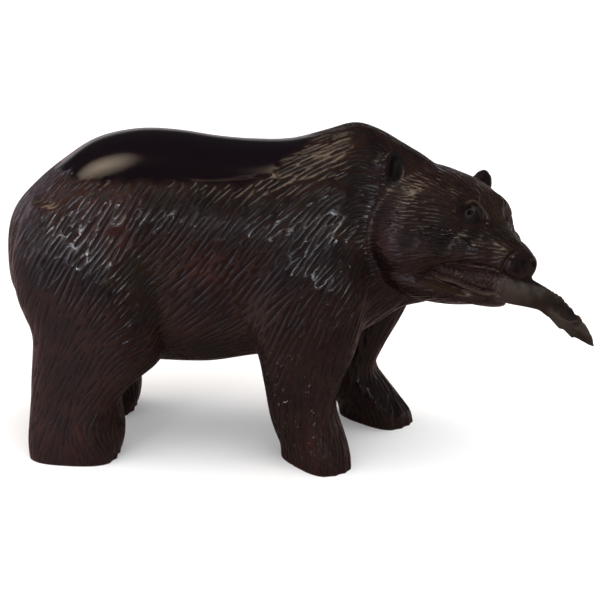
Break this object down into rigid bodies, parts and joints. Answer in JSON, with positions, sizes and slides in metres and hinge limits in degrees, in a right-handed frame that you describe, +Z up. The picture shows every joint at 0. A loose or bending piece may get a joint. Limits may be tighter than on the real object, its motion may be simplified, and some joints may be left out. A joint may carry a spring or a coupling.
{
  "type": "carved wooden bear",
  "caption": "Dark wooden carving of a walking bear with furrowed fur, a polished back and a fish held in its jaws.",
  "frame": {"origin": "on the ground under the middle of the figure's box", "axes": "+X the way the bear walks, +Y its left side, +Z up"},
  "size_m": [0.3182, 0.1318, 0.1819],
  "materials": {
    "dark_wood": "oiled near-black wood, softly glossy"
  },
  "bodies": {
    "root": {"carved_bear": "dark_wood"}
  },
  "joints": []
}
